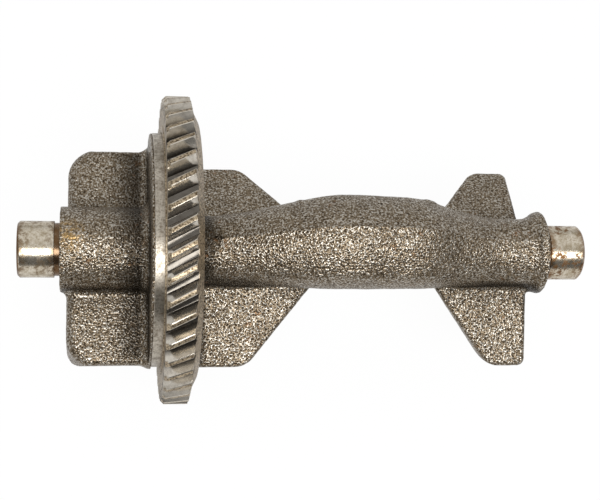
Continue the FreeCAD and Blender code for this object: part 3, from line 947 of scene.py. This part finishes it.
    def front_field(self, points: np.ndarray) -> np.ndarray:
        """Distance to the hub and the block, filleted into the flange behind them.

        The block is a turned drum whose front corners are rounder when seen from above, cut by
        its two flat faces. The edges of those faces ease out from the side's to the front's size.

        Args:
            points: Places in millimetres.

        Returns:
            Distances, negative inside.
        """
        along, across = points[:, 0], np.abs(points[:, 1])
        radius = np.hypot(points[:, 1], points[:, 2])
        hub = meet(radius - self.hub_radius, AT.hub_face - along, self.hub_edge)
        drum = meet(radius - self.block_radius, AT.block_face - along, self.weight_corner)
        plan = meet(across - self.block_radius, AT.block_face - along, self.block_corner)
        nearness = ramp(along, AT.block_face + self.block_edge_run, AT.block_face)
        edge = self.block_side_edge + (self.block_front_edge - self.block_side_edge) * nearness
        block = self.sector(np.maximum(drum, plan), points, self.block_half_angle, edge)
        flange = meet(radius - self.flange_radius, AT.seat_face - along, self.flange_edge)
        solid = join(join(hub, block, self.hub_fillet), flange, self.flange_fillet)
        return np.maximum(solid, along - AT.seat_face - self.flange_rim)

    def rear_field(self, points: np.ndarray) -> np.ndarray:
        """Distance to the web, the beam, the rear weight and the boss, filleted into each other.

        Web and rear weight are turned lands that slope down towards the beam, cut by their flat
        faces. The flare is a cone that widens from the neck to the boss.

        Args:
            points: Places in millimetres.

        Returns:
            Distances, negative inside.
        """
        along = points[:, 0]
        radius = np.hypot(points[:, 1], points[:, 2])
        land = radius - self.weight_radius
        web_back = half_space(along, radius, (AT.web_end, self.weight_radius), 90.0 - self.web_slope)
        web = np.maximum(meet(land, web_back, self.weight_corner), AT.seat_end - along)
        web = self.sector(web, points, self.weight_half_angle, self.weight_edge)
        rear_start = (AT.rear_land_start, self.weight_radius)
        rear = meet(land, half_space(along, radius, rear_start, 90.0 + self.rear_slope), self.weight_corner)
        rear = meet(rear, along - AT.rear_weight_face, self.weight_corner)
        rear = self.sector(rear, points, self.weight_half_angle, self.weight_edge)
        flare_rise = self.boss_radius - self.neck_radius
        flare_angle = math.degrees(math.atan2(flare_rise, AT.flare_end - AT.flare_start))
        flare = half_space(along, radius, (AT.flare_start, self.neck_radius), 90.0 + flare_angle)
        boss = meet(radius - self.boss_radius, flare, self.flare_edge)
        boss = meet(boss, along - AT.boss_face, self.boss_edge)
        neck = np.maximum(radius - self.neck_radius, AT.rear_land_start - along)
        spine = join(np.maximum(self.beam(points), along - AT.flare_start), neck, self.neck_fillet)
        spine = join(spine - self.parting_ridge(points) - self.flash_stubs(points), boss, self.boss_fillet)
        solid = join(join(spine, web, self.weight_fillet), rear, self.weight_fillet)
        return np.maximum(solid, np.maximum(AT.seat_end - self.seat_overlap - along, along - AT.boss_face))

    def painted_flank_shade(self, points: np.ndarray) -> np.ndarray:
        """Painted shade on the neck's flanks, where they hang over the flat faces of the weights.

        The rise is the sine of the angle from a weight's flat face round to the place. The shade
        is darkest low on the flank at the web, and lighter on the far side and at the rear.

        Args:
            points: Places in millimetres.

        Returns:
            Shares from 0 to 1.
        """
        turn = math.radians(self.weight_half_angle)
        along, radius = points[:, 0], np.hypot(points[:, 1], points[:, 2])
        plane = np.abs(points[:, 1]) * math.cos(turn) + points[:, 2] * math.sin(turn)
        rise = plane / np.maximum(radius, 1.0)
        band = ramp(rise, *self.shade_band_top) * ramp(rise, *self.shade_band_foot)
        at_web = ramp(along - AT.web_end, *self.web_shade_reach) * (along > AT.seat_end)
        at_rear = ramp(along - AT.rear_land_start, *self.rear_shade_start)
        at_rear *= self.rear_share * ramp(along - AT.boss_face, *self.rear_shade_end)
        near_or_far = np.where(points[:, 1] < 0.0, 1.0, self.far_share)
        return self.flank_shade_strength * band * np.maximum(at_web, at_rear) * near_or_far

    def roughened(self, distance: Field, points: np.ndarray) -> np.ndarray:
        """Surface points moved in or out along the slope by the lumps of the sand mould.

        Args:
            distance: The field of the piece.
            points: Places on its surface.

        Returns:
            The moved places.
        """
        slope = slope_of(distance, points)
        slope /= np.linalg.norm(slope, axis=1, keepdims=True)
        lumps = lattice_noise(points, self.fine_lump, seed=5)
        lumps += self.coarse_share * lattice_noise(points, self.coarse_lump, seed=6)
        return points + slope * (lumps * self.grain_height)[:, None]

    def build(self) -> list[bpy.types.Object]:
        """The two rough pieces of the casting, one on each side of the gear seat.

        Returns:
            The front piece and the rear piece.
        """
        margin, lead, headroom = 1.5, 2.0, 23.0
        side = self.weight_radius + margin
        top = self.neck_radius + headroom
        boxes = [
            ("front_hub_and_block", self.front_field, self.front_cell, self.front_reach, self.front_shade_strength,
             (AT.hub_face - margin, -side, -side), (AT.seat_face + 2 * margin, side, side)),
            ("beam_and_weights", self.rear_field, self.rear_cell, self.rear_reach, self.rear_shade_strength,
             (AT.seat_end - self.seat_overlap - lead, -side, -side), (AT.boss_face + margin, side, top)),
        ]
        pieces = []
        for name, distance, cell, reach, painted_shade, low, high in boxes:
            points, quads = level_surface(distance, np.array(low), np.array(high), cell)
            piece = store_mesh(name, self.roughened(distance, points), [quads], crease=180.0)
            # painted shade: corner shelter and the flank band, kept for the iron's material to darken
            shelter = shelter_of(distance, gear_disc, points, reach) * painted_shade
            store_values(piece, SHELTER, np.maximum(shelter, self.painted_flank_shade(points)))
            pieces.append(piece)
        return pieces


@dataclass
class Journal:
    """Ground journal at one end of the shaft, with its undercut and its centre hole."""

    end: End
    radius: float = 8.0
    chamfer: float = 0.7
    undercut: float = 0.5
    centre_radius: float = 2.2
    pilot_radius: float = 0.8
    pilot_depth: float = 1.6
    centre_half_angle: float = 30.0
    root: float = 1.2

    def build(self) -> bpy.types.Object:
        """The journal from its centre hole to its root inside the casting.

        Returns:
            The closed piece.
        """
        out = self.end.value
        tip, foot, seat = (
            (AT.front_end, AT.front_journal_end, AT.hub_face) if self.end is End.FRONT
            else (AT.rear_end, AT.rear_journal_start, AT.boss_face))
        cone = (self.centre_radius - self.pilot_radius) / math.tan(math.radians(self.centre_half_angle))
        bottom = tip - out * (cone + self.pilot_depth)
        profile = eased([
            (bottom, 0.0, 0.0),
            (bottom, self.pilot_radius, 0.0),
            (tip - out * cone, self.pilot_radius, 0.1),
            (tip, self.centre_radius, 0.12),
            (tip, self.radius - self.chamfer, 0.15),
            (tip - out * self.chamfer, self.radius, 0.2),
            (foot, self.radius, 0.12),
            (foot, self.radius - self.undercut, 0.1),
            (seat - out * self.root, self.radius - self.undercut, 0.0),
            (seat - out * self.root, 0.0, 0.0),
        ])
        return turned(f"{self.end.name.lower()}_journal", profile)


@dataclass
class GearSeat:
    """Turned disc between the block and the web, on which the ring gear is shrunk."""

    radius: float = 33.25
    edge: float = 0.15
    rough_rim: float = 0.6

    def build(self) -> bpy.types.Object:
        """The disc from its start in the rough flange to the web.

        Returns:
            The closed piece.
        """
        start = AT.seat_face + self.rough_rim
        return turned("gear_seat", eased([
            (start, 0.0, 0.0),
            (start, self.radius - self.edge, 0.0),
            (start + self.edge, self.radius, 0.0),
            (AT.seat_end, self.radius, 0.0),
            (AT.seat_end, 0.0, 0.0),
        ]), around=360)


@dataclass
class RingGear:
    """Helical ring gear: involute teeth on a turned ring."""

    teeth: int = 43
    module: float = 1.75
    addendum: float = 1.0
    dedendum: float = 1.25
    pressure_angle: float = 20.0
    helix_angle: float = 28.5
    shift: float = -0.46
    backlash: float = 0.06
    root_fillet: float = 0.55
    root_lean: float = 0.5
    tip_edge: float = 0.28
    tip_stretch: float = 1.4
    bore: float = 33.25
    bore_chamfer: float = 0.4
    land_radius: float = 35.4
    land_height: float = 0.3
    tooth_chamfer: float = 0.9
    rear_margin: float = 2.4
    rear_bevel: float = 1.5
    rear_radius: float = 36.8
    ring_edge: float = 0.1
    lip: float = 0.02
    disc_radius: float = 43.6

    def __post_init__(self) -> None:
        """Works out the gear's transverse radii from its normal module and its helix."""
        helix = math.radians(self.helix_angle)
        self.pitch = self.teeth * self.module / math.cos(helix) / 2
        self.tip = self.pitch + self.module * (self.shift + self.addendum)
        self.foot = self.pitch + self.module * (self.shift - self.dedendum)
        self.transverse = math.atan(math.tan(math.radians(self.pressure_angle)) / math.cos(helix))
        self.base = self.pitch * math.cos(self.transverse)
        self.twist = -math.tan(helix) / self.pitch

    def gap_half(self, radius: np.ndarray) -> np.ndarray:
        """Half of the angle that a tooth gap spans at a radius: half a pitch less the half tooth.

        The half tooth narrows outwards by the involute function tan(a) - a of the angle whose
        cosine is base / radius.

        Args:
            radius: Radii in millimetres.

        Returns:
            Angles in radians.
        """
        normal_half = math.pi / 4 + self.shift * math.tan(math.radians(self.pressure_angle))
        half = normal_half * self.module / math.cos(math.radians(self.helix_angle)) - self.backlash / 2
        angle = np.arccos(np.minimum(self.base / radius, 1.0))
        involute = math.tan(self.transverse) - self.transverse
        return math.pi / self.teeth - (half / self.pitch + involute - (np.tan(angle) - angle))

    def outline(self) -> tuple[np.ndarray, np.ndarray]:
        """Radii and angles once round the teeth, from the middle of a gap.

        Root and flank meet in a fillet of one quadratic curve; the tip corner is a quarter
        ellipse.

        Returns:
            One radius and one angle for each point of the outline.
        """
        half_pitch = math.pi / self.teeth
        share = np.linspace(0.0, 1.0, 5)
        foot_radii = self.foot + self.root_fillet * share ** 2
        foot_turn = self.gap_half(np.array([self.foot + self.root_fillet]))
        foot_turns = foot_turn - (1 - share) ** 2 * self.root_lean * self.root_fillet / self.foot
        flank = np.linspace(self.foot + self.root_fillet, self.tip - self.tip_edge, 6)[1:]
        quarter = np.linspace(0.0, math.pi / 2, 4)[1:]
        corner = self.gap_half(np.array([self.tip - self.tip_edge]))
        tip_radii = self.tip - self.tip_edge * (1.0 - np.sin(quarter))
        tip_turns = corner + self.tip_stretch * self.tip_edge * (1.0 - np.cos(quarter)) / self.tip
        radii = np.concatenate(([self.foot], foot_radii, flank, tip_radii, [self.tip]))
        turns = np.concatenate(([0.0], foot_turns, self.gap_half(flank), tip_turns, [half_pitch]))
        radii = np.concatenate((radii, radii[-2:0:-1]))
        turns = np.concatenate((turns, 2 * half_pitch - turns[-2:0:-1]))
        starts = np.arange(self.teeth)[:, None] * 2 * half_pitch
        return np.tile(radii, self.teeth), (starts + turns).ravel()

    def meridian(self) -> np.ndarray:
        """Rows of the turned blank, once round its section.

        Returns:
            Pairs (x, limit of the radius).
        """
        face = AT.gear_face + self.land_height
        end = AT.seat_end - self.rear_margin
        bevel = AT.seat_end - self.rear_bevel
        edge, chamfered = self.ring_edge, self.bore + self.bore_chamfer
        rows = [(AT.gear_face + self.bore_chamfer, self.bore), (AT.gear_face, chamfered),
                (AT.gear_face, self.land_radius - edge), (AT.gear_face + edge, self.land_radius),
                (face, self.land_radius + self.lip)]
        # Two rings close under the tooth feet keep the face flat.
        rows += [(face, self.foot - drop) for drop in (0.5, 0.04)]
        front = np.linspace(0.0, 1.0, 4)
        rows += list(zip(face + front * self.tooth_chamfer, self.tip - self.tooth_chamfer * (1.0 - front)))
        rows += [(along, self.tip) for along in np.linspace(face + self.tooth_chamfer, end, 12)[1:]]
        back = np.linspace(0.0, 1.0, 6)[1:]
        rows += list(zip(end + back * (bevel - end), self.tip + back * (self.foot - self.lip - self.tip)))
        rows += [(AT.seat_end - edge, self.rear_radius + 2 * edge), (AT.seat_end, self.rear_radius - edge),
                 (AT.seat_end, chamfered), (AT.seat_end - self.bore_chamfer, self.bore)]
        return np.array(rows)

    def build(self) -> bpy.types.Object:
        """The ring: its tooth outline, twisted along X and cut back by the turned blank.

        A point of row i and column j has the radius min(outline j, limit i) and the angle
        outline j + twist * x of row i, so the chamfers cut the teeth as a lathe tool does.

        Returns:
            The closed ring.
        """
        radii, turns = self.outline()
        rows = self.meridian()
        start = AT.gear_face - self.bore_chamfer
        radius = np.minimum(radii[None, :], rows[:, 1:])
        angle = turns[None, :] + self.twist * (rows[:, :1] - start)
        along = np.broadcast_to(rows[:, :1], radius.shape)
        points = np.stack((along, radius * np.cos(angle), radius * np.sin(angle)), axis=-1).reshape(-1, 3)
        quads = grid_quads(len(rows), len(radii), closed_rows=True)
        piece = store_mesh("helical_ring_gear", points, [quads], crease=28.0)
        store_values(piece, TURNED, (rows[:, 1:] <= radii[None, :] + 1e-6).ravel())
        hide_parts("ring_gear")
        return piece


def ground_finish(end: End) -> TurnedIron:
    """Finish of a ground journal; the rear one carries more rust.

    Args:
        end: The end of the shaft where the journal is.

    Returns:
        The finish.
    """
    tip, foot = ((AT.front_end, AT.front_journal_end) if end is End.FRONT
                 else (AT.rear_journal_start, AT.rear_end))
    return TurnedIron(
        name=f"ground_{end.name.lower()}_journal_iron", metal_shade="#E6DDCC", stain_shade="#8F7B57",
        rust_shade="#6B4E30" if end is End.FRONT else "#7A5530", roughness=0.15, ring=0.22,
        stain=0.65, speckle=0.45,
        rust=0.45 if end is End.FRONT else 0.9, groove_radius=7.9,
        middle=(tip + foot) / 2, half_length=(foot - tip) / 2)


def seat_finish() -> TurnedIron:
    """Finish of the turned gear seat."""
    return TurnedIron(
        name="turned_seat_iron", metal_shade="#D2CABC", stain_shade="#7D7263", rust_shade="#5E4A33",
        roughness=0.23, ring=0.35, stain=0.5, speckle=0.75, rust=0.25)


def build_shaft() -> None:
    """Builds and dresses the pieces of the shaft."""
    for piece in Casting().build():
        dress(piece, CastIron().material(), "balance_shaft")
    for end in End:
        dress(Journal(end).build(), ground_finish(end).material(), "balance_shaft")
    dress(GearSeat().build(), seat_finish().material(), "balance_shaft")


def dress(piece: bpy.types.Object, material: bpy.types.Material, node: str) -> None:
    """Gives a piece its material and hides the imported part that it stands in for."""
    piece.data.materials.append(material)
    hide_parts(node)


# Studio


@dataclass(frozen=True)
class Studio:
    """White table, soft lamps and the camera of the photograph."""

    floor_height: float = -43.8
    target: tuple[float, float, float] = (75.14, 0.0, 0.0)
    yaw: float = 8.5
    pitch: float = 20.0
    roll: float = 0.39
    distance: float = 388.6
    lens: float = 80.4
    sensor: float = 36.0
    shift_up: float = 0.29
    table_half: float = 3.0
    table_paper: str = "#D0D0D0"
    table_glow: float = 1.03
    seen_glow: float = 0.93
    mirrored_glow: float = 0.35
    room_before: float = 0.06
    room_beyond: float = 0.78
    room_step: Step = (-0.75, 0.25)
    ceiling_step: Step = (0.0, 0.6, 0.0, 0.4)
    wall_share: float = 0.6

    def axes(self) -> tuple[Vector, Vector, Vector]:
        """Right, up and backward directions of the camera.

        Returns:
            Three unit vectors.
        """
        yaw, pitch, roll = (math.radians(part) for part in (self.yaw, self.pitch, self.roll))
        across = Vector((math.cos(yaw), -math.sin(yaw) * math.sin(pitch), math.sin(yaw) * math.cos(pitch)))
        rise = Vector((0.0, math.cos(pitch), math.sin(pitch)))
        back = Vector((-math.sin(yaw), -math.cos(yaw) * math.sin(pitch), math.cos(yaw) * math.cos(pitch)))
        right = across * math.cos(roll) + rise * math.sin(roll)
        up = rise * math.cos(roll) - across * math.sin(roll)
        return right, up, back

    def add_camera(self) -> None:
        """Camera at the photograph's viewing angle."""
        right, up, back = self.axes()
        place = Vector(self.target) + back * self.distance + up * self.shift_up
        data = bpy.data.cameras.new("photo_camera")
        data.lens = self.lens
        data.sensor_width = self.sensor
        data.clip_start = 0.01
        camera = bpy.data.objects.new("photo_camera", data)
        turn = Matrix((right, up, back)).transposed().to_4x4()
        camera.matrix_world = Matrix.Translation(place * MM) @ turn
        bpy.context.scene.collection.objects.link(camera)
        bpy.context.scene.camera = camera

    def add_lamp(self, name: str, tilt: float, swing: float, distance: float, size: tuple[float, float],
                 power: float) -> None:
        """Softbox that points at the object.

        Args:
            name: Name of the lamp.
            tilt: Degrees from the camera's direction towards the bottom of the picture.
            swing: Degrees from the camera's direction towards the right of the picture.
            distance: Distance from the object, in metres.
            size: Width and height of the softbox, in metres.
            power: Power in watts.
        """
        right, up, back = self.axes()
        turn = Matrix.Rotation(math.radians(tilt), 3, right) @ Matrix.Rotation(math.radians(swing), 3, up)
        direction = turn @ back
        data = bpy.data.lights.new(name, "AREA")
        data.shape = "RECTANGLE"
        data.size, data.size_y = size
        data.energy = power
        lamp = bpy.data.objects.new(name, data)
        across = up.cross(direction).normalized()
        turn = Matrix((across, direction.cross(across), direction)).transposed().to_4x4()
        lamp.matrix_world = Matrix.Translation(Vector(self.target) * MM + direction * distance) @ turn
        bpy.context.scene.collection.objects.link(lamp)

    def add_floor(self) -> None:
        """White table: it shines evenly for the camera and keeps a faint shadow."""
        mesh = bpy.data.meshes.new("white_table")
        half = self.table_half
        height = self.floor_height * MM
        corners = [(x * half, y * half, height) for x, y in ((-1, -1), (1, -1), (1, 1), (-1, 1))]
        mesh.from_pydata(corners, [], [(0, 1, 2, 3)])
        table = bpy.data.objects.new("white_table", mesh)
        bpy.context.scene.collection.objects.link(table)
        material, tree = new_material("white_table_paper")
        add = partial(add_node, tree)
        rays = add(Kind.RAY).outputs
        mirrored = add(Kind.PRODUCT, rays["Is Glossy Ray"], self.mirrored_glow)
        share = add(Kind.LARGER, add(Kind.PRODUCT, rays["Is Camera Ray"], self.seen_glow), mirrored)
        paper = add(Kind.PAPER, linear(self.table_paper))
        table_light = add(Kind.GLOW, WHITE, self.table_glow)
        add(Kind.SURFACE, add(Kind.TWO_SHADERS, share, paper, table_light))
        mesh.materials.append(material)

    def add_world(self) -> None:
        """Room: white to the camera, grey to the part, brighter beyond it than in front of it."""
        world = bpy.data.worlds.new("studio_room")
        world.use_nodes = True
        tree = world.node_tree
        tree.nodes.clear()
        add = partial(add_node, tree)
        parts = add(Kind.SPLIT, add(Kind.COORDINATES).outputs["Generated"]).outputs
        height = add(Kind.SUM, add(Kind.STEP, parts[2], *self.ceiling_step), self.wall_share)
        beyond = add(Kind.PRODUCT, add(Kind.STEP, parts[1], *self.room_step), height)
        greys = [(level, level, level, 1.0) for level in (self.room_before, self.room_beyond)]
        room = add(Kind.MIX, beyond, *greys)
        seen = add(Kind.RAY).outputs["Is Camera Ray"]
        add(Kind.WORLD, add(Kind.BACKGROUND, add(Kind.MIX, seen, room, WHITE)))
        bpy.context.scene.world = world

    def build(self) -> None:
        """Sets up the table, the lamps, the room and the camera."""
        bpy.context.scene.view_settings.view_transform = "Standard"
        self.add_floor()
        self.add_world()
        self.add_lamp("key_softbox", tilt=10.5, swing=8.0, distance=1.0, size=(1.1, 0.40), power=8.6)
        self.add_camera()


def main() -> None:
    """Builds the studio and the part."""
    logging.basicConfig(level=logging.INFO, format="%(name)s %(message)s")
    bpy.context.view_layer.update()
    Studio().build()
    build_shaft()
    gear = RingGear().build()
    gear.data.materials.append(GearSteel().material())
    bpy.context.view_layer.update()


if __name__ == "__main__":
    main()
